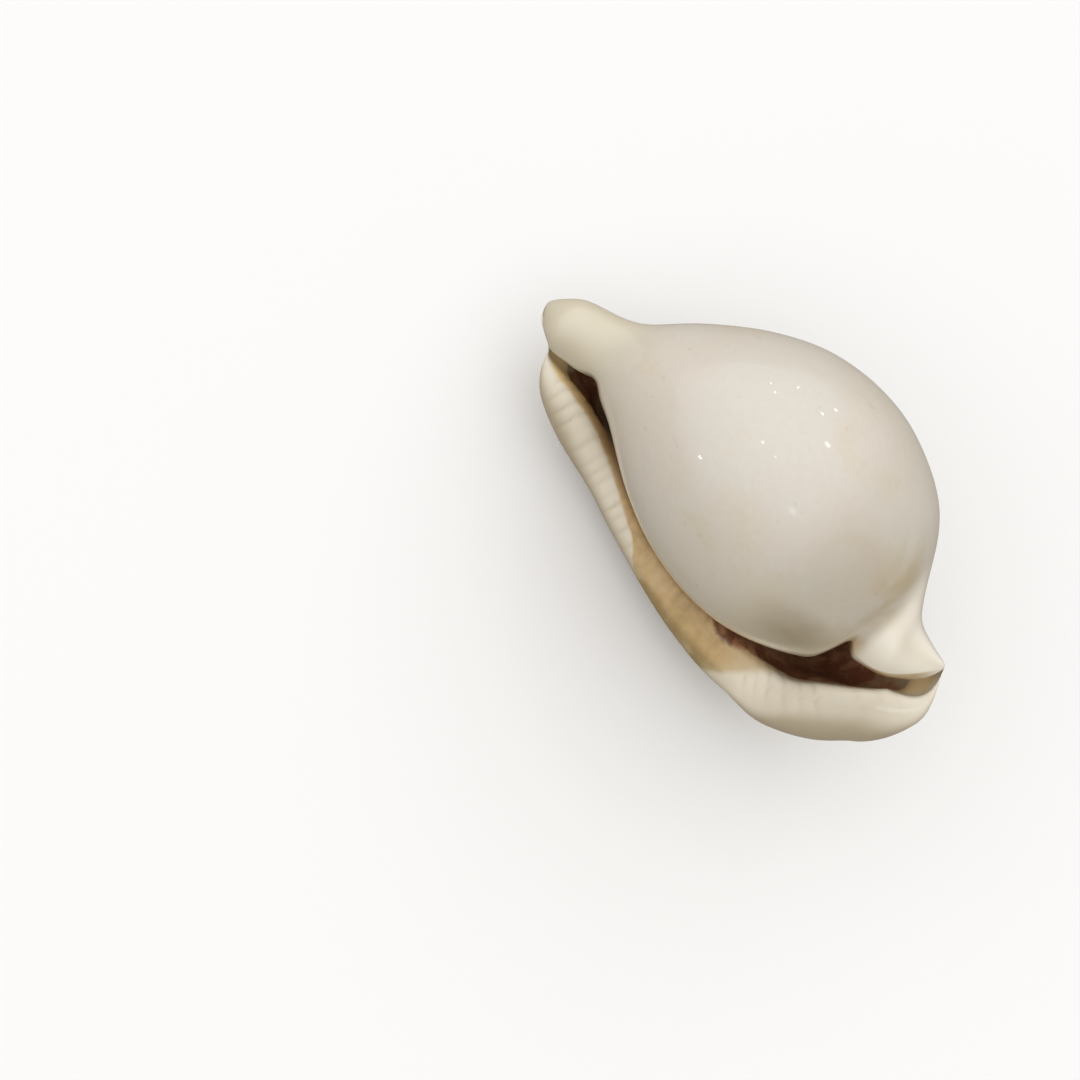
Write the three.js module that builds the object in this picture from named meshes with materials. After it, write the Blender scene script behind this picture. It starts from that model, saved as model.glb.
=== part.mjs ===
// Egg cowrie shell, dextral, aperture side with a thickened and folded outer lip.
// One closed wall: a sheet of shell that starts inside as a scroll, passes over the
// columella, the back and the far side, and ends in the rounded lip beside the slit.
// Units are millimetres, +Z is up and the shell lies on the side of its outer lip.
import * as THREE from 'three';

// ---- driving dimensions ----
const TIP_POSTERIOR = -44.2;      // tip of the beak along the shell axis
const TIP_ANTERIOR = 45.9;        // tip of the knob along the shell axis
const SLIT_SIDE = 335;            // polar angle of the slit side, degrees from the base
const VIEW_TURN = 65;             // angle between the base and the measuring plane
const SCROLL_START = -200;        // the wall begins here inside the body
const CANAL_START = -38;          // and here in both canals, where no scroll is left
const LIP_END_BODY = 318;         // polar angle of the lip edge in the body
const LIP_END_CANAL = 334;        // and in the canals
const CAP_POSTERIOR = 5.4;        // length over which the beak rounds off
const CAP_ANTERIOR = 5.0;         // length over which the knob rounds off
const LIP_OVERHANG = 4.8;         // how far the posterior lip reaches past the beak
const LIP_RECESS = 1.8;           // how far the anterior lip stays behind the knob
const FOLD_PITCH = 2.15;          // mean distance between two lip folds
const FOLD_DEPTH = 0.16;          // depth of the grooves between them
const FLAT_DEPTH = 0.6;           // height worn off where the shell rests
const UP = [-0.318, 0.942, -0.108];   // vertical of the resting pose, in shell axes

// Rails: [station along the axis, value, rounding of the corner]. Each rail is a
// polyline with every inner corner rounded, so it has no kink anywhere.
const CENTRE = [
  [-44.2, 4.6, 0], [-42, 5.6, 1.5], [-39, 6.3, 1.5], [-36, 7.0, 1.5], [-31, 2.3, 2.5], [-26, 1.3, 3],
  [-12, 0.4, 4], [4, -0.6, 4], [26, -1.0, 3], [31.5, 1.1, 3], [37, 1.6, 3], [42, 2.6, 2],
  [45.9, 1.9, 0],
];
const BODY = [
  [-44.2, 2.0, 0], [-43, 2.3, 1], [-39, 3.8, 2], [-36.5, 5.6, 1.5], [-33, 9.5, 2], [-28, 17.0, 3],
  [-22, 20.7, 4], [-13, 24.5, 5], [-4, 25.1, 6], [6, 23.5, 6], [16, 18.4, 5], [25, 11.4, 3],
  [31, 6.5, 3], [36, 5.8, 2], [41, 5.9, 2], [45.9, 2.9, 0],
];
const LIP = [
  [-44.2, 18.0, 0], [-40.5, 18.1, 2], [-36, 23.2, 3], [-31.5, 32.9, 3.5], [-25, 36.6, 4],
  [-14, 37.0, 5], [-2, 34.1, 6], [14, 28.3, 5], [26, 23.2, 4], [32, 17.9, 3], [38.3, 12.7, 1.5],
  [42.2, 3.2, 1.5], [45.9, 4.3, 0],
];
const GAP = [
  [-44.2, 0.5, 0], [-41, 0.7, 2], [-36, 3.2, 2], [-33, 6.3, 2], [-30, 7.1, 2], [-26, 6.8, 2],
  [-21, 4.6, 2.5], [-15, 1.8, 3], [-9, 0.8, 3], [12, 0.8, 3], [19, 1.9, 2.5], [27, 3.4, 2],
  [31, 2.6, 2], [37, 2.0, 2.5], [42, 0.1, 1.5], [45.9, 0.4, 0],
];
const NOTCH = [
  [-44.2, 40.0, 0], [-34.6, 15.6, 1], [-32.2, 14.4, 0.6], [-29.3, 10.2, 0.5], [-28.0, 14.6, 0.5],
  [-26.6, 19.0, 1], [-20, 48.0, 0],
];
const WALL = [
  [-45.2, 12.0, 0], [-40, 10.5, 2], [-35, 4.2, 2], [-24, 2.4, 4], [0, 2.1, 5], [24, 2.4, 4],
  [33, 3.6, 3], [38, 6.0, 2], [45.9, 6.5, 0],
];
const DEPTH = [[-45.2, 1.0, 0], [-38, 1.0, 3], [-28, 0, 3], [28, 0, 3], [38, 2.2, 3], [45.9, 2.2, 0]];

// ---- small helpers ----
const RAD = Math.PI / 180;
const clamp = (v, lo, hi) => Math.min(Math.max(v, lo), hi);
const smooth = (a, b, v) => {
  const t = clamp((v - a) / (b - a), 0, 1);
  return t * t * (3 - 2 * t);
};
function rail(knots, x) {
  const slope = (i) => (knots[i + 1][1] - knots[i][1]) / (knots[i + 1][0] - knots[i][0]);
  const last = knots.length - 1;
  let value = knots[0][1] + 0.5 * (slope(0) + slope(last - 1)) * (x - knots[0][0]);
  for (let i = 1; i < last; i += 1) {
    const reach = Math.hypot(x - knots[i][0], knots[i][2]);
    value += 0.5 * (slope(i) - slope(i - 1)) * (reach - (knots[i][0] - knots[0][0]));
  }
  return value;
}
const foldPhase = (x) => (2 * Math.PI * x) / FOLD_PITCH + 0.9 * Math.sin(0.37 * x) + 0.7 * Math.sin(0.83 * x + 1);

// Shell axes from the station, the distance across the slit and the depth towards the
// viewer of the slit. The posterior lip leans out past the beak, and the anterior lip
// stays behind the knob.
function toAxes(x, w, c) {
  const along = x - LIP_OVERHANG * smooth(2, 15, w) * smooth(-30, -43, x)
    - LIP_RECESS * smooth(5.2, 8.2, w) * smooth(39.2, 43.6, x);
  const t = VIEW_TURN * RAD;
  return [along, -Math.cos(t) * w + Math.sin(t) * c, -Math.sin(t) * w - Math.cos(t) * c];
}

// ---- one cross-section: the closed loop of the wall at station x ----
function section(x, plan) {
  const centre = rail(CENTRE, x);
  const depth = rail(DEPTH, x);
  const body = rail(BODY, x);
  const lip = rail(LIP, x);
  const canal = Math.max(smooth(-29, -36, x), smooth(27, 34, x));
  const far = Math.max(smooth(-20, -38, x), smooth(18, 38, x));
  const start = SCROLL_START + (CANAL_START - SCROLL_START) * canal;
  const end = LIP_END_BODY + (LIP_END_CANAL - LIP_END_BODY) * far;
  const fromTip = Math.min((x - TIP_POSTERIOR) / CAP_POSTERIOR, (TIP_ANTERIOR - x) / CAP_ANTERIOR);
  const cap = Math.sqrt(Math.max(1 - (1 - clamp(fromTip, 0, 1)) ** 2, 0));
  const bead = Math.max(lip - body - rail(GAP, x), 0.9);
  const wall = rail(WALL, x);
  const lipHalf = clamp(bead / 2 / Math.max(lip - bead / 2, 0.001) / RAD, 1, 30);
  const thin = Math.min(wall, 0.65 * body);
  const startRadius = body * (1 - 0.5 * (1 - canal)) - thin / 2;
  const startHalf = clamp(thin / 2 / Math.max(startRadius, 0.001) / RAD, 1, 25);

  // the three stretches of the loop: scroll, body of the whorl, and the flank of the lip
  const from = start + startHalf;
  const turn = from + 167 - 161 * canal;
  const to = end - lipHalf;
  const flank = to - 60;

  const point = ({ edge, mid, side }) => {
    let phi;
    let over = 0;
    if (edge < 0) {
      over = Math.cos((1 + edge) * Math.PI / 2);
      phi = start + startHalf * (1 - over);
    } else if (edge > 0) {
      over = Math.sin(edge * Math.PI / 2);
      phi = end - lipHalf * (1 - over);
    } else if (mid < 1) {
      phi = from + (turn - from) * mid;
    } else if (mid < 2) {
      phi = turn + (flank - turn) * (mid - 1);
    } else {
      phi = flank + (to - flank) * (mid - 2);
    }
    let round = Math.sqrt(Math.max(1 - over * over, 0));
    if (edge > 0 && side < 0) round **= 0.6;
    const scroll = 1 - 0.5 * smooth(-20, -200, phi) * (1 - canal);
    const pinch = 1.5 * smooth(165, 60, phi) * smooth(-60, 20, phi);
    const pinchAt = -30.4 - 2.4 * smooth(-20, 110, phi);
    const notch = pinch * Math.exp(-(((x - pinchAt) / 2.3) ** 2))
      + 1.3 * smooth(30, -15, phi) * Math.exp(-(((x - 31.5) / 2.2) ** 2));
    const beak = 1 + 0.2 * Math.exp(-(((phi - 60) / 48) ** 2)) * smooth(-32, -36, x);
    const toLip = smooth(165 + 50 * smooth(-30, -36, x), end - 20, phi);
    let radius = (body * scroll * beak - notch) * (1 - toLip) + lip * toLip;
    const thicken = smooth(end - 60, end - 12, phi);
    let thick = wall * (1 - thicken) + bead * thicken;
    thick = Math.min(thick, 0.65 * radius) * cap;
    radius *= cap;
    const fade = side > 0 ? smooth(0.25, 1, over) : smooth(end - 34, end - 12, phi);
    const amount = smooth(-43, -36, x) * smooth(41, 34, x) * (0.75 - 0.25 * Math.sin(0.08 * x));
    const fold = edge < 0 ? 0 : FOLD_DEPTH * amount * fade * (0.5 + 0.5 * Math.cos(foldPhase(x)));
    const lean = edge > 0 ? (0.15 + 0.35 * smooth(-14, -30, x)) * over * over : 0;
    radius += (thick / 2) * (side * round - 1 - lean) - side * fold * round;
    const a = (phi - SLIT_SIDE) * RAD - (edge > 0 ? (fold * over) / Math.max(radius, 1) : 0);
    let w = centre + radius * Math.cos(a);
    // the notch at the posterior end of the slit cuts the columella side back
    const cut = rail(NOTCH, x);
    const shoulder = 0.5 * (w + cut - Math.hypot(w - cut, 1.1));
    w += (shoulder - w) * smooth(-110, -70, phi) * smooth(100, 60, phi);
    return toAxes(x, w, depth + radius * Math.sin(a));
  };
  return plan.map(point);
}

// ---- plan of the loop: outside from the inner start to the lip, then back inside ----
// edge runs -1..0 over the rounded start and 0..1 over the rounded lip; mid runs 0..3
// over the three stretches between them; side is 1 outside and -1 inside.
function loopPlan() {
  const plan = [];
  const spread = (counts) => counts.flatMap((count, part) => (
    Array.from({ length: count }, (_, i) => part + i / count)
  )).concat(counts.length);
  const startEdge = 3;
  const lipEdge = 4;
  for (let i = 0; i < startEdge; i += 1) plan.push({ edge: -1 + i / startEdge, mid: 0, side: 1 });
  for (const mid of spread([5, 16, 7])) plan.push({ edge: 0, mid, side: 1 });
  for (let i = 1; i <= lipEdge; i += 1) plan.push({ edge: i / lipEdge, mid: 3, side: 1 });
  for (let i = lipEdge - 1; i > 0; i -= 1) plan.push({ edge: i / lipEdge, mid: 3, side: -1 });
  for (const mid of spread([3, 9, 4]).reverse()) plan.push({ edge: 0, mid, side: -1 });
  for (let i = startEdge - 1; i > 0; i -= 1) plan.push({ edge: -1 + i / startEdge, mid: 0, side: -1 });
  return plan;
}

// ---- stations: one on every fold and every groove, closer together at both tips ----
function stations() {
  const first = -38.5;
  const last = 36;
  const list = [];
  const tipSteps = 8;
  for (let i = 1; i < tipSteps; i += 1) list.push(TIP_POSTERIOR + (first - TIP_POSTERIOR) * (i / tipSteps) ** 2);
  for (let k = Math.ceil(foldPhase(first) / Math.PI); k <= Math.floor(foldPhase(last) / Math.PI); k += 1) {
    let low = first;
    let high = last;
    for (let n = 0; n < 40; n += 1) {
      const half = (low + high) / 2;
      if (foldPhase(half) < k * Math.PI) low = half;
      else high = half;
    }
    list.push((low + high) / 2);
  }
  for (let i = tipSteps; i > 0; i -= 1) list.push(TIP_ANTERIOR + (last - TIP_ANTERIOR) * (i / tipSteps) ** 2);
  return list;
}

// ---- the skin: rings of sections, closed by a point at each tip ----
function shellGeometry() {
  const plan = loopPlan();
  const rings = stations().map((x) => section(x, plan));
  const tip = (x) => toAxes(x, rail(CENTRE, x), rail(DEPTH, x));
  const points = [tip(TIP_POSTERIOR), tip(TIP_ANTERIOR), ...rings.flat()].map((p) => new THREE.Vector3(...p));

  // turn the shell into its resting pose, wear the flat spot and set it on the ground
  const up = new THREE.Vector3(...UP).normalize();
  const forward = new THREE.Vector3(1, 0, 0).addScaledVector(up, -up.x).normalize();
  const across = new THREE.Vector3().crossVectors(up, forward);
  for (const p of points) p.set(p.dot(forward), p.dot(across), p.dot(up));
  const box = new THREE.Box3().setFromPoints(points);
  const floor = box.min.z + FLAT_DEPTH;
  const middle = box.getCenter(new THREE.Vector3());
  for (const p of points) p.set(p.x - middle.x, p.y - middle.y, Math.max(p.z - floor, 0));

  const n = plan.length;
  const index = [];
  const at = (ring, i) => 2 + ring * n + (i % n);
  for (let i = 0; i < n; i += 1) {
    index.push(0, at(0, i + 1), at(0, i));
    index.push(1, at(rings.length - 1, i), at(rings.length - 1, i + 1));
  }
  for (let r = 0; r + 1 < rings.length; r += 1) {
    for (let i = 0; i < n; i += 1) {
      index.push(at(r, i), at(r + 1, i + 1), at(r + 1, i));
      index.push(at(r, i), at(r, i + 1), at(r + 1, i + 1));
    }
  }
  const geometry = new THREE.BufferGeometry();
  geometry.setAttribute('position', new THREE.Float32BufferAttribute(points.flatMap((p) => [p.x, p.y, p.z]), 3));
  geometry.setIndex(index);
  geometry.computeVertexNormals();
  return geometry;
}

const enamel = new THREE.MeshStandardMaterial({ color: 0xe3ddd0, roughness: 0.22, metalness: 0 });
const shell = new THREE.Mesh(shellGeometry(), enamel);
shell.name = 'shell';

const part = new THREE.Group();
part.name = 'egg_cowrie_shell';
part.add(shell);
export default part;
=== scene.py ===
import math

import bpy
import numpy as np
from mathutils import Matrix, Vector


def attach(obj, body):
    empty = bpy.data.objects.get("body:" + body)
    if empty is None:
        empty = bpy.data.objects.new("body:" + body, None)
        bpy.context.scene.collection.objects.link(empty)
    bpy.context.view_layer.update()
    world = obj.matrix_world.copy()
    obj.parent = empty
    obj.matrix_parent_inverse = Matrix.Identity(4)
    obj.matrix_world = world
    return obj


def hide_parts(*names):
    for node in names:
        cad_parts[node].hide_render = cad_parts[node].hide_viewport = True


# Egg cowrie shell, lying on the side of its outer lip on a pale floor.
# The skin is one surface of two parameters: a station along the shell's axis and a
# place round the loop of the wall. Lengths are millimetres until the mesh is made, and
# angles are degrees.

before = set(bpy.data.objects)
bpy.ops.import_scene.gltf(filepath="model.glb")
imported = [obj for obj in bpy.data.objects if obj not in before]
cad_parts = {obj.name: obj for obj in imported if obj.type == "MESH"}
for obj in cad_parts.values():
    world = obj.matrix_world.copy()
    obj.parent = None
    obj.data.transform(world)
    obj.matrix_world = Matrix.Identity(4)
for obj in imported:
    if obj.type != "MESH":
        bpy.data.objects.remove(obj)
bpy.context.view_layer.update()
MM = 0.001

# Driving dimensions of the shell, the same as the solid's.
TIP_POSTERIOR = -44.2          # tip of the beak along the shell axis
TIP_ANTERIOR = 45.9            # tip of the knob along the shell axis
SLIT_SIDE = 335.0              # polar angle of the slit side, from the base
VIEW_TURN = 65.0               # angle between the base and the measuring plane
SCROLL_START = -200.0          # the wall begins here inside the body
CANAL_START = -38.0            # and here in both canals, where no scroll is left
LIP_END_BODY = 318.0           # polar angle of the lip edge in the body
LIP_END_CANAL = 334.0          # and in the canals
CAP_POSTERIOR = 5.4            # length over which the beak rounds off
CAP_ANTERIOR = 5.0             # length over which the knob rounds off
LIP_OVERHANG = 4.8             # how far the posterior lip reaches past the beak
LIP_RECESS = 1.8               # how far the anterior lip stays behind the knob
FOLD_PITCH = 2.15              # mean distance between two lip folds
FOLD_DEPTH = 0.16              # depth of the grooves between them
FLAT_DEPTH = 0.6               # height worn off where the shell rests
UP = (-0.318, 0.942, -0.108)   # vertical of the resting pose, in shell axes
SCROLL_TURN = 167.0            # how far the scroll turns inside the body
CANAL_TURN = 161.0             # how much of that turn is missing in the canals
FLANK_TURN = 60.0              # how far the flank of the lip turns
SCROLL_SHRINK = 0.5            # share of the radius that the scroll loses inside
LEAST_BEAD = 0.9               # the lip is never thinner than this
WALL_SHARE = 0.65              # most of the radius that the wall takes up
TINY = 0.001                   # keeps a radius that is divided by above zero

# Rails: (station, value, rounding of the corner).
CENTRE = (
    (-44.2, 4.6, 0), (-42, 5.6, 1.5), (-39, 6.3, 1.5), (-36, 7.0, 1.5), (-31, 2.3, 2.5),
    (-26, 1.3, 3), (-12, 0.4, 4), (4, -0.6, 4), (26, -1.0, 3), (31.5, 1.1, 3),
    (37, 1.6, 3), (42, 2.6, 2), (45.9, 1.9, 0),
)
BODY = (
    (-44.2, 2.0, 0), (-43, 2.3, 1), (-39, 3.8, 2), (-36.5, 5.6, 1.5), (-33, 9.5, 2),
    (-28, 17.0, 3), (-22, 20.7, 4), (-13, 24.5, 5), (-4, 25.1, 6), (6, 23.5, 6),
    (16, 18.4, 5), (25, 11.4, 3), (31, 6.5, 3), (36, 5.8, 2), (41, 5.9, 2), (45.9, 2.9, 0),
)
LIP = (
    (-44.2, 18.0, 0), (-40.5, 18.1, 2), (-36, 23.2, 3), (-31.5, 32.9, 3.5), (-25, 36.6, 4),
    (-14, 37.0, 5), (-2, 34.1, 6), (14, 28.3, 5), (26, 23.2, 4), (32, 17.9, 3),
    (38.3, 12.7, 1.5), (42.2, 3.2, 1.5), (45.9, 4.3, 0),
)
GAP = (
    (-44.2, 0.5, 0), (-41, 0.7, 2), (-36, 3.2, 2), (-33, 6.3, 2), (-30, 7.1, 2),
    (-26, 6.8, 2), (-21, 4.6, 2.5), (-15, 1.8, 3), (-9, 0.8, 3), (12, 0.8, 3),
    (19, 1.9, 2.5), (27, 3.4, 2), (31, 2.6, 2), (37, 2.0, 2.5), (42, 0.1, 1.5), (45.9, 0.4, 0),
)
NOTCH = (
    (-44.2, 40.0, 0), (-34.6, 15.6, 1), (-32.2, 14.4, 0.6), (-29.3, 10.2, 0.5),
    (-28.0, 14.6, 0.5), (-26.6, 19.0, 1), (-20, 48.0, 0),
)
WALL = (
    (-45.2, 12.0, 0), (-40, 10.5, 2), (-35, 4.2, 2), (-24, 2.4, 4), (0, 2.1, 5), (24, 2.4, 4),
    (33, 3.6, 3), (38, 6.0, 2), (45.9, 6.5, 0),
)
DEPTH = ((-45.2, 1.0, 0), (-38, 1.0, 3), (-28, 0, 3), (28, 0, 3), (38, 2.2, 3), (45.9, 2.2, 0))

# Rails of the finish. Where the cream of the lip's crest gives way to tan, as a distance
# from the crest that is negative on the inner side.
CREAM_EDGE = (
    (-45.2, -2.6, 0), (-43, -4.6, 1), (-40.5, -5.8, 1), (-37, -4.6, 1), (-32, -4.6, 1),
    (-26, -4.8, 1), (-24, -3.2, 1), (-20, 0.0, 1), (-16.5, 3.8, 1), (-13, 9.0, 1),
    (2, 9.0, 1), (6.5, 2.0, 1), (9, -0.4, 1), (16, -1.8, 2), (27, -3.8, 2), (35, -2.0, 2),
    (45.9, -0.6, 0),
)
# How wide the tan band is before the brown begins.
TAN_WIDTH = (
    (-45.2, 16.0, 0), (-41.4, 12.0, 0.6), (-39.6, 0.9, 0.6), (-27, 0.7, 1), (-22, 2.3, 2),
    (-16, 7.0, 2), (-12, 12.5, 2), (6, 16.0, 2), (12, 5.0, 2), (20, 2.6, 2), (35, 2.3, 1),
    (38, 5.0, 1), (40, 10.0, 1), (45.9, 12.0, 0),
)
# Where the painted taupe shade of the lip's flank begins, as a distance from the crest.
FLANK_PAINTED_SHADE = (
    (-45.2, 5.0, 0), (-39, 3.0, 2), (-36, 2.2, 2), (-31, 3.6, 2), (-26, 7.0, 2), (-20, 7.5, 2),
    (-13, 5.0, 3), (8, 2.4, 3), (20, 3.0, 3), (27, 2.0, 2), (31, 0.8, 2), (45.9, 1.2, 0),
)
# Polar angle at which the columella turns into the slit.
MARGIN = (
    (-44.2, 48.0, 0), (-42.8, 43.0, 1), (-37.6, 17.0, 1), (-35.4, 8.0, 1), (-33.8, -9.0, 0.5),
    (-32.0, -9.0, 1), (45.9, -9.0, 0),
)
WHORL_EDGE = -25.0             # polar angle where the whorl turns away into the slit
LIP_TURN = 200.0               # polar angle past which the lip's own marks begin
MARK_LIMIT = 40.0              # distances that the finish follows stop here

# How finely the skin is drawn.
EVEN_FIRST = -38.5             # the stations are even between these two
EVEN_LAST = 36.0
EVEN_STATIONS = 318
TIP_STATIONS = 18
START_COLUMNS = 5              # columns over the rounded start of the wall
LIP_COLUMNS = 14               # and over the rounded lip, on each side
OUTER_COLUMNS = (14, 96, 40)   # scroll, body and flank of the lip, on the outside
INNER_COLUMNS = (8, 40, 24)    # and on the inside


def smooth(start, stop, value):
    """0 before start, 1 after stop, and 3t^2 - 2t^3 between them."""
    t = np.clip((value - start) / (stop - start), 0, 1)
    return t * t * (3 - 2 * t)


def bell(value, middle, width):
    """e to the power of minus the square of the distance over the width."""
    return np.exp(-(((value - middle) / width) ** 2))


def rail(knots, station):
    """The polyline through the knots with each inner corner rounded to a hyperbola."""
    place, value, rounding = np.array(knots, float).T
    slope = np.diff(value) / np.diff(place)
    out = value[0] + 0.5 * (slope[0] + slope[-1]) * (station - place[0])
    for i in range(1, len(knots) - 1):
        reach = np.hypot(station - place[i], rounding[i])
        out = out + 0.5 * (slope[i] - slope[i - 1]) * (reach - (place[i] - place[0]))
    return out


def fold_phase(station):
    """Phase of the lip folds, whose pitch wanders with two slow sines."""
    return (
        2 * np.pi * station / FOLD_PITCH
        + 0.9 * np.sin(0.37 * station)
        + 0.7 * np.sin(0.83 * station + 1)
    )


def fold_amount(station):
    """Full along the lip and nothing at both ends, made to vary by a slow sine."""
    along = smooth(-43, -36, station) * smooth(41, 34, station)
    return along * (1 + 0.2 * np.sin(0.08 * station))


def fold_skew(station):
    """How many stations a groove moves along for each millimetre from the crest."""
    return -0.3 + 0.8 * smooth(10, -22, station)


def groove(station):
    """How near a station is to the bottom of a groove between two folds, 0 to 1: e to
    the power of -4 times the squared sine of half the phase, some grooves fainter."""
    faint = 0.5 + 0.5 * np.sin(1.9 * station + 0.6) * np.sin(0.71 * station)
    return faint * np.exp(-4 * np.sin(fold_phase(station) / 2) ** 2)


def loop_plan():
    """Places round the loop: edge runs -1..0 over the rounded inner start and 0..1 over
    the rounded lip, mid runs 0..3 over the three stretches between, side is 1 outside
    and -1 inside."""
    outer, inner = [
        np.concatenate([part + np.arange(n) / n for part, n in enumerate(columns)] + [[3.0]])
        for columns in (OUTER_COLUMNS, INNER_COLUMNS)
    ]
    first = np.arange(START_COLUMNS) / START_COLUMNS - 1
    rise = np.arange(1, LIP_COLUMNS + 1) / LIP_COLUMNS
    runs = (
        (first, 0, 1),
        (0, outer, 1),
        (rise, 3, 1),
        (rise[-2::-1], 3, -1),
        (0, inner[::-1], -1),
        (first[:0:-1], 0, -1),
    )
    return [
        np.concatenate([np.broadcast_arrays(*map(np.asarray, run))[k] for run in runs])
        for k in range(3)
    ]


def stations():
    """Stations along the axis: even between the tips, and squared towards each tip so
    that the rounded ends are drawn evenly."""
    ramp = (np.arange(1, TIP_STATIONS) / TIP_STATIONS) ** 2
    return np.concatenate([
        TIP_POSTERIOR + (EVEN_FIRST - TIP_POSTERIOR) * ramp,
        np.linspace(EVEN_FIRST, EVEN_LAST, EVEN_STATIONS),
        TIP_ANTERIOR + (EVEN_LAST - TIP_ANTERIOR) * ramp[::-1],
    ])


def to_axes(station, across, depth):
    """Shell axes from station, distance across the slit's plane and depth towards the
    viewer of the slit. The posterior end of the lip leans out past the beak, and its
    anterior end stays behind the knob."""
    along = station - LIP_OVERHANG * smooth(2, 15, across) * smooth(-30, -43, station)
    along = along - LIP_RECESS * smooth(5.2, 8.2, across) * smooth(39.2, 43.6, station)
    turn = math.radians(VIEW_TURN)
    side = -math.cos(turn) * across + math.sin(turn) * depth
    base = -math.sin(turn) * across - math.cos(turn) * depth
    return np.stack([along, side, base], axis=-1)


def half_angle(thickness, radius, widest):
    """Half the wall's thickness as an angle at the radius, at least 1 and at most widest."""
    return np.clip(np.degrees(thickness / 2 / np.maximum(radius, TINY)), 1, widest)


def wall(station, edge, mid, side):
    """The skin at each station (rows) and loop place (columns), with the polar angle and
    the radius of each point.

    The middle of the wall follows a polar curve: its radius goes from half the body's
    at the inner start, to the body's, to the lip's. Half of the wall's thickness is
    added outside and taken away inside, and both rounded ends are half ellipses."""
    x = station[:, None]
    centre, depth, body, lip, plain = (rail(k, x) for k in (CENTRE, DEPTH, BODY, LIP, WALL))
    canal = np.maximum(smooth(-29, -36, x), smooth(27, 34, x))
    far = np.maximum(smooth(-20, -38, x), smooth(18, 38, x))
    start = SCROLL_START + (CANAL_START - SCROLL_START) * canal
    end = LIP_END_BODY + (LIP_END_CANAL - LIP_END_BODY) * far
    from_tip = np.minimum((x - TIP_POSTERIOR) / CAP_POSTERIOR, (TIP_ANTERIOR - x) / CAP_ANTERIOR)
    cap = np.sqrt(np.maximum(1 - (1 - np.clip(from_tip, 0, 1)) ** 2, 0))
    bead = np.maximum(lip - body - rail(GAP, x), LEAST_BEAD)
    lip_half = half_angle(bead, lip - bead / 2, 30)
    thin = np.minimum(plain, WALL_SHARE * body)
    start_half = half_angle(thin, body * (1 - SCROLL_SHRINK * (1 - canal)) - thin / 2, 25)

    # polar angle over the three stretches: scroll, body of the whorl, flank of the lip
    come = start + start_half
    turn = come + SCROLL_TURN - CANAL_TURN * canal
    leave = end - lip_half
    flank = leave - FLANK_TURN
    angle = np.where(
        mid < 1,
        come + (turn - come) * mid,
        np.where(mid < 2, turn + (flank - turn) * (mid - 1), flank + (leave - flank) * (mid - 2)),
    )
    over_start = np.cos((1 + edge) * np.pi / 2)
    over_lip = np.sin(np.maximum(edge, 0) * np.pi / 2)
    over = np.where(edge < 0, over_start, over_lip) + 0 * x
    angle = np.where(edge < 0, start + start_half * (1 - over), angle)
    angle = np.where(edge > 0, end - lip_half * (1 - over), angle)
    swell = np.sqrt(np.maximum(1 - over ** 2, 0))
    swell = np.where((edge > 0) & (side < 0), swell ** 0.6, swell)

    # radius of the sheet, with the pinched necks at both ends and the ridge of the beak
    scroll = 1 - SCROLL_SHRINK * smooth(-20, -200, angle) * (1 - canal)
    pinch = 1.5 * smooth(165, 60, angle) * smooth(-60, 20, angle)
    pinch_at = -30.4 - 2.4 * smooth(-20, 110, angle)
    neck = pinch * bell(x, pinch_at, 2.3) + 1.3 * smooth(30, -15, angle) * bell(x, 31.5, 2.2)
    beak = 1 + 0.2 * bell(angle, 60, 48) * smooth(-32, -36, x)
    to_lip = smooth(165 + 50 * smooth(-30, -36, x), end - 20, angle)
    radius = (body * scroll * beak - neck) * (1 - to_lip) + lip * to_lip
    thicken = smooth(end - 60, end - 12, angle)
    thick = plain * (1 - thicken) + bead * thicken
    thick = np.minimum(thick, WALL_SHARE * radius) * cap
    radius = radius * cap

    # folds across the lip
    outside = smooth(0.25, 1.0, over)
    inside = smooth(end - 34, end - 12, angle)
    fold = FOLD_DEPTH * fold_amount(x) * np.where(side > 0, outside, inside)
    from_crest = side * (bead / 2) * np.arccos(np.clip(over, -1, 1))
    fold = np.where(edge < 0, 0, fold * groove(x + fold_skew(x) * from_crest))
    lean = (0.15 + 0.35 * smooth(-14, -30, x)) * np.where(edge > 0, over ** 2, 0)
    radius = radius + (thick / 2) * (side * swell - 1 - lean) - side * fold * swell
    polar = np.radians(angle - SLIT_SIDE)
    polar = polar - np.where(edge > 0, fold * over / np.maximum(radius, 1), 0)
    across = centre + radius * np.cos(polar)

    # the notch at the posterior end of the slit: the columella side is cut back to a
    # profile, with a rounded shoulder
    cut = rail(NOTCH, x)
    shoulder = 0.5 * (across + cut - np.hypot(across - cut, 1.1))
    columella = smooth(-110, -70, angle) * smooth(100, 60, angle)
    across = across + (shoulder - across) * columella
    return to_axes(x + 0 * polar, across, depth + radius * np.sin(polar)), angle, radius


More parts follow.
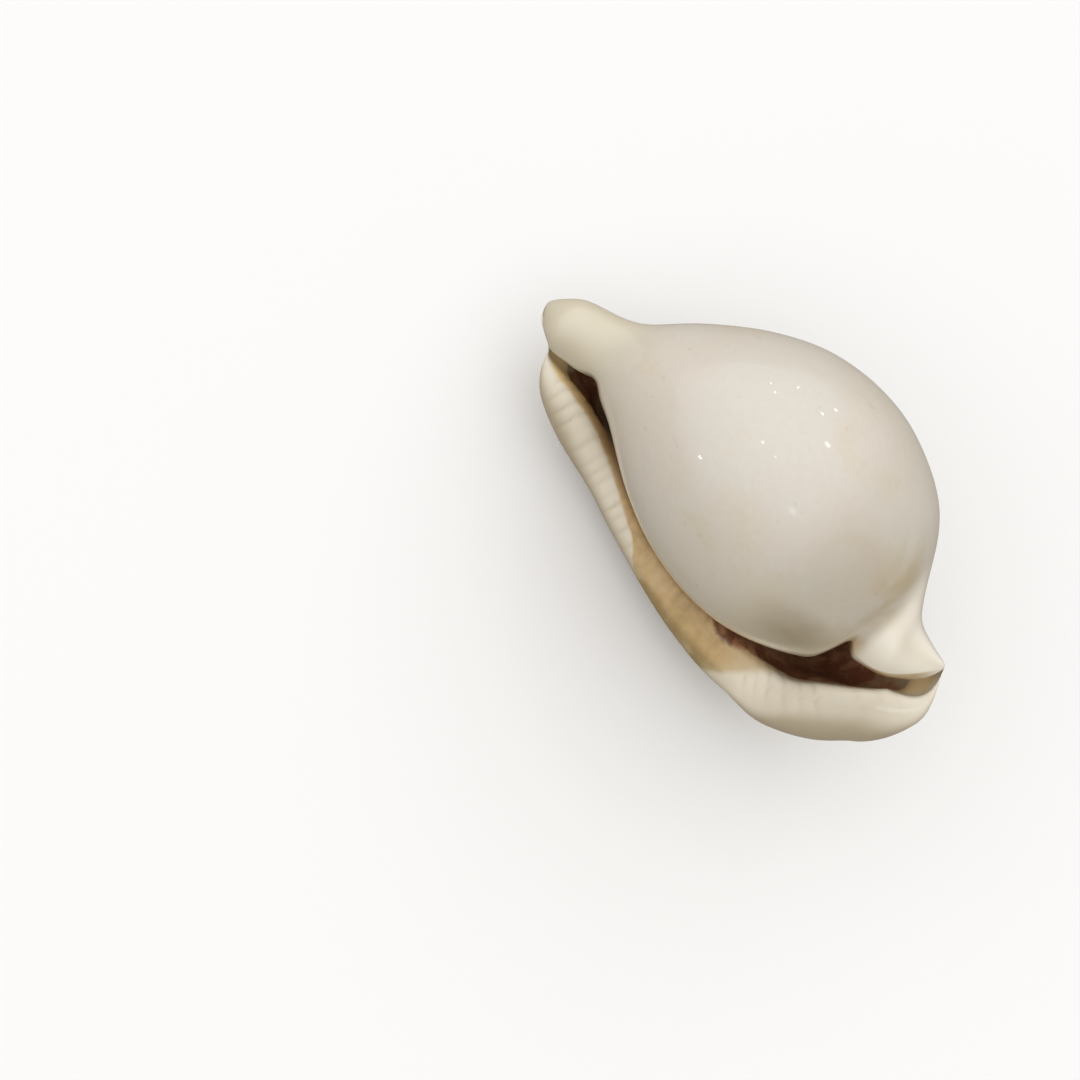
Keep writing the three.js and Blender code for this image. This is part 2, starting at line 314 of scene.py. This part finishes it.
def finish_marks(station, edge, side, grid, angle, radius):
    """What the finish follows, at each point of the skin: the station, the polar angle,
    distances along the surface from an edge of the paint, and masks from 0 to 1. The
    distance from the crest of the lip is the sum of the steps between the points of one
    ring, and is negative on the inner side."""
    x = station[:, None]
    step = np.linalg.norm(np.diff(grid, axis=1), axis=-1)
    run = np.concatenate([np.zeros((len(station), 1)), np.cumsum(step, axis=1)], axis=1)
    crest = run[:, [int(np.argmax(edge))]] - run
    at_lip = angle > LIP_TURN
    front = np.where(side > 0, 1.0, 0.0) * smooth(200, 180, angle)

    # distances
    lip_in = np.where(angle > 180, rail(CREAM_EDGE, x) - crest, -MARK_LIMIT)
    brown_in = lip_in - rail(TAN_WIDTH, x)
    columella_in = np.where(side > 0, np.radians(WHORL_EDGE - angle) * radius, -MARK_LIMIT)

    # masks of the inside and of the lip
    deep = np.where(side > 0, smooth(-30, -60, angle), smooth(-6.0, -14.0, crest))
    deep = deep * smooth(-42, -39.5, x) * smooth(39, 35, x)
    # painted shade: taupe down the lip's outer flank
    flank = smooth(-2.4, 2.8, crest - rail(FLANK_PAINTED_SHADE, x)) * smooth(24, 12, crest)
    # painted shade in the grooves between the folds
    near_crest = smooth(4.5, 1.0, np.abs(crest + 1.2))
    fold = groove(x + fold_skew(x) * crest) * fold_amount(x) * near_crest

    # masks of the whorl and of both ends
    margin = angle - rail(MARGIN, x)
    # painted shade: darker by the notch, where the lip shades the foot of the whorl, and more
    # faintly towards the beak
    hollow_shade_mask = bell(x, -21.5, 6.5) * bell(angle, 14, 19)
    hollow_shade_mask = np.maximum(hollow_shade_mask, 0.42 * bell(x, -23, 9) * bell(angle, 58, 34))
    notch_stain = bell(x, -29.9, 1.5) * smooth(34, 18, angle)
    margin_stain = smooth(-31, -35, x) * smooth(7, 0, margin) * smooth(-44, -39, x)
    # painted shade: the white of the beak is weaker on its ridge, where the light catches it
    ridge_painted_shade = 1 - 0.28 * bell(angle, 71, 20)
    beak = smooth(-30.0, -33.0, x) * ridge_painted_shade * smooth(150, 110, angle)
    rim = smooth(9, 1, margin) * smooth(-27, -22, x) * smooth(26, 18, x)
    return {
        "station": x + 0 * angle,
        "turn": angle,
        "crest": np.clip(crest, -MARK_LIMIT, MARK_LIMIT),
        "lip_in": np.clip(lip_in, -MARK_LIMIT, MARK_LIMIT),
        "brown_in": np.clip(brown_in, -MARK_LIMIT, MARK_LIMIT),
        "columella_in": np.clip(columella_in, -MARK_LIMIT, MARK_LIMIT),
        "deep": deep,
        "flank": np.where(side > 0, flank, 0.0),
        "shade": bell(x, -36, 6) * smooth(-4, 0, crest) * at_lip,
        "pale": bell(x, -22.5, 4) * smooth(8, 4.5, crest) * at_lip,
        # painted shade in the crease of the knob's neck
        "neck": bell(x, 30.5, 3.5) * bell(angle, 70, 35) * front,
        "groove": fold * at_lip,
        "painted_shade_hollow": hollow_shade_mask * front,
        "stain": np.maximum(notch_stain, margin_stain) * front,
        "beak_white_and_shade": beak * front,
        "rim": rim * front,
    }


def pose(points):
    """Shell axes to the row's frame: the resting pose, centred on the CAD's box, with
    the flat spot worn off where the shell meets the floor."""
    up = Vector(UP).normalized()
    forward = (Vector((1, 0, 0)) - up.x * up).normalized()
    turned = points @ np.array([forward, up.cross(forward), up]).T
    low, high = turned.min(axis=0), turned.max(axis=0)
    floor = low[2] + FLAT_DEPTH
    turned = turned - [(low[0] + high[0]) / 2, (low[1] + high[1]) / 2, floor]
    turned[:, 2] = np.maximum(turned[:, 2], 0)
    return turned


def make_shell(name):
    """The whole skin: rings of the wall joined by quads, and a fan to a point at each
    tip. The marks that the finish follows go in as point attributes."""
    station = stations()
    edge, mid, side = loop_plan()
    grid, angle, radius = wall(station, edge, mid, side)
    marks = finish_marks(station, edge, side, grid, angle, radius)
    rings, columns = grid.shape[:2]
    ends = [to_axes(x, rail(CENTRE, x), rail(DEPTH, x)) for x in (TIP_POSTERIOR, TIP_ANTERIOR)]
    points = pose(np.concatenate([np.array(ends), grid.reshape(-1, 3)])) * MM

    # points 0 and 1 are the tips, and the rings follow them
    number = 2 + np.arange(rings * columns).reshape(rings, columns)
    ahead = np.roll(number, -1, axis=1)
    quads = np.stack([number[:-1], ahead[:-1], ahead[1:], number[1:]], axis=-1).reshape(-1, 4)
    first = np.stack([np.zeros(columns, int), ahead[0], number[0]], axis=-1)
    last = np.stack([np.ones(columns, int), number[-1], ahead[-1]], axis=-1)
    mesh = bpy.data.meshes.new(name)
    mesh.from_pydata(points.tolist(), [], first.tolist() + last.tolist() + quads.tolist())
    mesh.polygons.foreach_set("use_smooth", [True] * len(mesh.polygons))
    for mark, value in marks.items():
        layer = mesh.attributes.new(mark, "FLOAT", "POINT")
        tips = [value[0].mean(), value[-1].mean()]
        layer.data.foreach_set("value", np.concatenate([tips, value.ravel()]).astype(np.float32))
    mesh.update()
    shell = bpy.data.objects.new(name, mesh)
    bpy.context.collection.objects.link(shell)
    return shell


def paint(red, green, blue):
    """Linear colour from 8-bit display values."""
    channels = [v / 255 for v in (red, green, blue)]
    linear = [c / 12.92 if c <= 0.04045 else ((c + 0.055) / 1.055) ** 2.4 for c in channels]
    return tuple(linear) + (1.0,)


class Value:
    """A number socket; arithmetic on it adds Math nodes."""

    def __init__(self, tree, socket):
        self.tree = tree
        self.socket = socket

    def math(self, operation, first, second):
        """A Math node of two values, each a socket or a number."""
        return self.tree.node("ShaderNodeMath", {"operation": operation}, {0: first, 1: second})

    def __add__(self, other):
        return self.math("ADD", self, other)

    def __radd__(self, other):
        return self.math("ADD", other, self)

    def __sub__(self, other):
        return self.math("SUBTRACT", self, other)

    def __rsub__(self, other):
        return self.math("SUBTRACT", other, self)

    def __mul__(self, other):
        return self.math("MULTIPLY", self, other)

    def __rmul__(self, other):
        return self.math("MULTIPLY", other, self)

    def __truediv__(self, other):
        return self.math("DIVIDE", self, other)

    def at_least(self, other):
        """The larger of the two."""
        return self.math("MAXIMUM", self, other)


class Finish:
    """The nodes of a material or world."""

    def __init__(self, owner):
        owner.use_nodes = True
        self.nodes = owner.node_tree.nodes
        self.links = owner.node_tree.links
        self.nodes.clear()

    def node(self, kind, settings=None, sockets=None, out=0):
        """A node of one kind, with its settings, the values or links of its sockets, and
        the output that the result stands for."""
        made = self.nodes.new(kind)
        for key, value in (settings or {}).items():
            setattr(made, key, value)
        for key, value in (sockets or {}).items():
            if isinstance(value, Value):
                self.links.new(value.socket, made.inputs[key])
            else:
                made.inputs[key].default_value = value
        return Value(self, made.outputs[out]) if made.outputs else None

    def mark(self, name):
        """A mark of the skin, read from its point attribute."""
        return self.node("ShaderNodeAttribute", {"attribute_name": name}, out="Fac")

    def noise(self, place, scale, detail, roughness, distortion=0.0):
        """Soft noise round 0.5, with about scale patches to the metre."""
        return self.node(
            "ShaderNodeTexNoise", {},
            {"Vector": place, "Scale": scale, "Detail": detail, "Roughness": roughness,
             "Distortion": distortion},
        )

    def ease(self, value, start, stop):
        """0 before start, 1 after stop, smooth between them; start may be above stop."""
        low, high = min(start, stop), max(start, stop)
        ends = (0.0, 1.0) if start < stop else (1.0, 0.0)
        return self.node(
            "ShaderNodeMapRange", {"interpolation_type": "SMOOTHSTEP"},
            {0: value, 1: low, 2: high, 3: ends[0], 4: ends[1]},
        )

    def mix(self, factor, first, second):
        """The first colour where the factor is 0, the second where it is 1."""
        return self.node(
            "ShaderNodeMix", {"data_type": "RGBA"}, {0: factor, 6: first, 7: second}, out=2,
        )


def whorl_colour(f, place, warm):
    """Clouded off-white enamel, the tints of the whorl with painted shade at its foot and by
    the notch, and the colours of both ends.
    """
    station = f.mark("station")
    turn = f.mark("turn")

    # very soft rosy, greenish and warm patches, and specks
    cloud = f.noise(place, 55.0, 2.0, 0.45)
    grain = f.noise(place, 900.0, 2.0, 0.5)
    speck = f.noise(place, 620.0, 0.0, 0.5)
    colour = f.mix(f.ease(cloud, 0.38, 0.62), paint(206, 198, 188), paint(205, 200, 191))
    colour = f.mix(f.ease(warm, 0.5, 0.74) * 0.5, colour, paint(202, 190, 164))
    colour = f.mix(f.ease(grain, 0.3, 0.7) * 0.25, colour, paint(214, 208, 197))
    colour = f.mix(f.ease(speck, 0.79, 0.86) * 0.35, colour, paint(192, 176, 146))

    # the foot of the whorl and the hollow by the notch, darker and warmer as painted shade, and
    # the rim of the slit
    foot_painted_shade = f.ease(turn, 45.0, -5.0) * f.ease(station, -4.0, -16.0)
    colour = f.mix(foot_painted_shade * 0.75, colour, paint(203, 191, 163))
    painted_shade_hollow = f.mark("painted_shade_hollow") * (0.8 + 0.25 * f.ease(warm, 0.35, 0.65))
    colour = f.mix(painted_shade_hollow, colour, paint(157, 144, 119))
    # darker, warmer patches towards the beak: partly brownish patches, partly painted shade
    valley_patches_and_shade = f.ease(station, -22.0, -29.0) * f.ease(turn, 20.0, 45.0) * f.ease(turn, 120.0, 85.0)
    colour = f.mix(valley_patches_and_shade * f.ease(warm, 0.35, 0.6) * 0.75, colour, paint(186, 169, 134))
    colour = f.mix(f.mark("rim") * 0.5, colour, paint(222, 214, 196))

    # both ends: the knob, painted shade in the crease of its neck, the pale beak with its white
    # weaker on the ridge as painted shade, and the stains beside it
    knob = f.ease(station, 26.0, 34.0) * f.ease(turn, 200.0, 170.0)
    colour = f.mix(knob, colour, paint(206, 198, 178))
    colour = f.mix(f.mark("neck") * 0.5, colour, paint(176, 167, 150))
    colour = f.mix(f.mark("beak_white_and_shade"), colour, paint(243, 237, 225))
    return f.mix(f.mark("stain") * f.ease(warm, 0.2, 0.5), colour, paint(182, 154, 112))


def lip_colour(f, colour, lip, crest):
    """Cream along the crest of the lip, taupe down its flank as painted shade, and darker in
    the grooves as painted shade.
    """
    colour = f.mix(lip, colour, paint(222, 213, 195))
    colour = f.mix(lip * f.ease(crest, 3.5, -0.5), colour, paint(228, 221, 204))
    colour = f.mix(f.mark("pale") * 0.9, colour, paint(238, 230, 213))
    colour = f.mix(f.mark("shade") * 0.95, colour, paint(200, 192, 174))
    colour = f.mix(lip * f.mark("flank") * 0.9, colour, paint(176, 162, 138))
    return f.mix(f.mark("groove") * 0.5, colour, paint(186, 170, 140))


def inside_colour(f, colour, place, warm, crest):
    """Tan and then brown on the inner face of the lip, with frayed edges, and brown past the
    whorl's edge and deep inside. Olive on the tan's outer side is painted shade; the lighter
    tans at both ends and the lighter brown deep inside are painted light. Also gives where
    the glaze is thinner for it."""
    station = f.mark("station")
    lip_in = f.mark("lip_in")
    ragged = f.noise(place, 420.0, 3.0, 0.6)
    blotch = f.noise(place, 210.0, 3.0, 0.55, 0.3)
    fray = (ragged - 0.5) * 1.8

    # the tan band, with a softer edge on the posterior half, olive on its outer side as painted
    # shade, and lighter tans at both ends as painted light
    soft = f.ease(station, 8.0, -4.0)
    tan = f.ease((lip_in + fray * (0.6 + 0.4 * soft)) / (0.55 + 1.1 * soft), -0.7, 0.9)
    olive_painted_shade = f.ease(crest + fray, 0.6, 3.2)
    tan_colour = f.mix(olive_painted_shade, paint(200, 170, 122), paint(162, 138, 96))
    tan_colour = f.mix(f.ease(blotch, 0.44, 0.72) * 0.6, tan_colour, paint(208, 190, 154))
    tan_colour = f.mix(f.ease(blotch, 0.5, 0.3) * 0.4, tan_colour, paint(156, 130, 84))
    border = f.ease(lip_in, 6.0, 0.0) * f.ease(station, -14.0, -20.0)
    tan_colour = f.mix(border * 0.7, tan_colour, paint(212, 197, 164))
    tan_colour = f.mix(f.ease(station, -33.0, -39.0), tan_colour, paint(212, 186, 138))
    tan_colour = f.mix(f.ease(station, 32.0, 38.0), tan_colour, paint(240, 214, 160))
    colour = f.mix(tan, colour, tan_colour)

    # brown past the tan
    brown = f.ease(f.mark("brown_in") + fray, -0.2, 0.8)
    brown_colour = f.mix(f.ease(blotch, 0.42, 0.6), paint(116, 74, 50), paint(170, 126, 90))
    brown_colour = f.mix(f.ease(warm, 0.56, 0.66), brown_colour, paint(176, 160, 130))
    colour = f.mix(brown, colour, brown_colour)

    # the whorl past its edge, and the deepest parts of the slit, in a lighter brown as painted
    # light
    past_edge = f.mark("columella_in") + fray * 0.6
    colour = f.mix(f.ease(past_edge, 0.2, 1.6), colour, paint(190, 166, 128))
    colour = f.mix(f.ease(past_edge, 1.4, 4.0), colour, paint(132, 90, 64))
    deep = f.mark("deep")
    deep_painted_light = f.mix(f.ease(blotch, 0.45, 0.6), paint(140, 88, 62), paint(182, 132, 96))
    deep_painted_light = f.mix(f.ease(warm, 0.56, 0.7) * 0.6, deep_painted_light, paint(170, 146, 112))
    return f.mix(deep, colour, deep_painted_light), tan.at_least(deep)


def enamel_finish():
    """Glossy off-white enamel, creamier on the lip and at both ends, tan on the inner
    face of the lip and brown inside. The glaze is thinner on the lip and inside."""
    material = bpy.data.materials.new("enamel")
    f = Finish(material)
    place = f.node("ShaderNodeTexCoord", out="Object")
    warm = f.noise(place, 90.0, 3.0, 0.55, 0.4)
    crest = f.mark("crest")
    lip = f.ease(f.mark("turn"), 215.0, 285.0)
    colour = lip_colour(f, whorl_colour(f, place, warm), lip, crest)
    colour, covered = inside_colour(f, colour, place, warm, crest)

    # very shallow waves of the glaze, which break up the glints
    ripple = f.noise(place, 330.0, 2.0, 0.5)
    swell = f.noise(place, 70.0, 1.0, 0.4)
    waves = f.node(
        "ShaderNodeBump", {},
        {"Strength": 1.0, "Distance": 0.04 * MM, "Height": ripple + swell * 4.0},
        out="Normal",
    )
    shader = f.node("ShaderNodeBsdfPrincipled", {}, {
        "Base Color": colour,
        "Roughness": 0.36 + lip * 0.1,
        "Normal": waves,
        "IOR": 1.5,
        "Specular IOR Level": 0.4,
        "Coat Weight": (1.0 - covered * 0.5) * (1.0 - lip * 0.3) * 0.75,
        "Coat Roughness": 0.06,
        "Coat IOR": 1.5,
    })
    f.node("ShaderNodeOutputMaterial", {}, {"Surface": shader})
    return material


def make_floor():
    """A plain pale floor, not part of the object: one square, 6 metres wide. The camera
    sees it paler than the paper that lights the shell from below."""
    half = 3.0
    mesh = bpy.data.meshes.new("floor")
    corners = [(-half, -half, 0), (half, -half, 0), (half, half, 0), (-half, half, 0)]
    mesh.from_pydata(corners, [], [(0, 1, 2, 3)])
    floor = bpy.data.objects.new("floor", mesh)
    bpy.context.collection.objects.link(floor)
    material = bpy.data.materials.new("floor paper")
    f = Finish(material)
    seen = f.node("ShaderNodeLightPath", out="Is Camera Ray")
    colour = f.mix(seen, paint(172, 167, 156), paint(245, 246, 248))
    shader = f.node("ShaderNodeBsdfDiffuse", {}, {"Color": colour})
    f.node("ShaderNodeOutputMaterial", {}, {"Surface": shader})
    mesh.materials.append(material)


KEY_LIGHT = Vector((0.645, -0.224, 0.731)).normalized()   # towards the main soft light
SKY_LEVEL = 0.5                # strength of the light from all round
KEY_LEVEL = 1.08               # what is added towards the key light
SKY_COLOUR = (1.0, 0.94, 0.82, 1.0)
KEY_COLOUR = (1.0, 0.985, 0.965, 1.0)


def make_sky():
    """Soft studio light from all round, brighter and less warm towards the key light.
    Its strength is a constant plus a multiple of the cosine to the key light."""
    world = bpy.data.worlds.new("studio")
    bpy.context.scene.world = world
    f = Finish(world)
    ray = f.node("ShaderNodeTexCoord", out="Generated")
    cosine = f.node(
        "ShaderNodeVectorMath", {"operation": "DOT_PRODUCT"}, {0: ray, 1: KEY_LIGHT}, out="Value",
    )
    key = cosine.at_least(0.0)
    colour = f.mix(f.ease(key, 0.0, 0.5), SKY_COLOUR, KEY_COLOUR)
    strength = SKY_LEVEL + key * KEY_LEVEL
    sky = f.node("ShaderNodeBackground", {}, {"Color": colour, "Strength": strength})
    f.node("ShaderNodeOutputWorld", {}, {"Surface": sky})


# Small bare lamps that give the sharp glints: (azimuth, elevation, radius mm, watts).
GLINTS = (
    (35, 11.6, 9, 0.12),
    (-42.6, 23, 6, 0.05),
    (-44.9, 16, 5, 0.035),
    (-59.8, 18.2, 7, 0.07),
    (-68.3, 32.8, 9, 0.07),
    (-77.5, 24.2, 11, 0.06),
    (-67.9, 53.2, 20, 0.18),
    (-0.9, 47.8, 12, 0.06),
    (3.5, 56.7, 9, 0.03),
    (67.9, 64.7, 30, 0.1),
    (-103.6, -3.0, 5, 0.02),
)
GLINT_DISTANCE = 700 * MM
GLINT_CENTRE = Vector((0, 0, 0.025))   # metres, near the middle of the shell


def make_glints():
    """The lamps, all at one distance from the middle of the shell."""
    for i, (azimuth, elevation, radius, power) in enumerate(GLINTS):
        lamp = bpy.data.lights.new(f"glint_{i + 1}", "POINT")
        lamp.energy = power
        lamp.shadow_soft_size = radius * MM
        holder = bpy.data.objects.new(lamp.name, lamp)
        a, e = math.radians(azimuth), math.radians(elevation)
        towards = Vector((math.cos(a) * math.cos(e), math.sin(a) * math.cos(e), math.sin(e)))
        holder.location = GLINT_CENTRE + towards * GLINT_DISTANCE
        bpy.context.collection.objects.link(holder)


# The photograph's view: the camera looks down at 70 degrees, rolled so that the axis of
# the shell runs from the upper left to the lower right. Places are in millimetres.
CAMERA_PLACE = Vector((105.53, 105.17, 335.83))
CAMERA_AIM = Vector((21.83, 32.27, 25.03))
CAMERA_TOP = Vector((0.6865, -0.7270, -0.0144))
CAMERA_LENS = 66.74


def make_camera():
    """The camera at its place, looking at its aim, with its top side up in the picture."""
    data = bpy.data.cameras.new("camera")
    data.lens = CAMERA_LENS
    data.sensor_width = 36.0
    data.clip_start = 0.01
    data.clip_end = 20.0
    camera = bpy.data.objects.new("camera", data)
    back = (CAMERA_PLACE - CAMERA_AIM).normalized()
    right = CAMERA_TOP.cross(back).normalized()
    turned = Matrix([right, back.cross(right), back]).transposed()
    camera.matrix_world = Matrix.Translation(CAMERA_PLACE * MM) @ turned.to_4x4()
    bpy.context.collection.objects.link(camera)
    bpy.context.scene.camera = camera


shell = make_shell("egg_cowrie")
shell.data.materials.append(enamel_finish())
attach(shell, "root")
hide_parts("shell")
make_floor()
make_sky()
make_glints()
make_camera()
bpy.context.scene.view_settings.view_transform = "Standard"
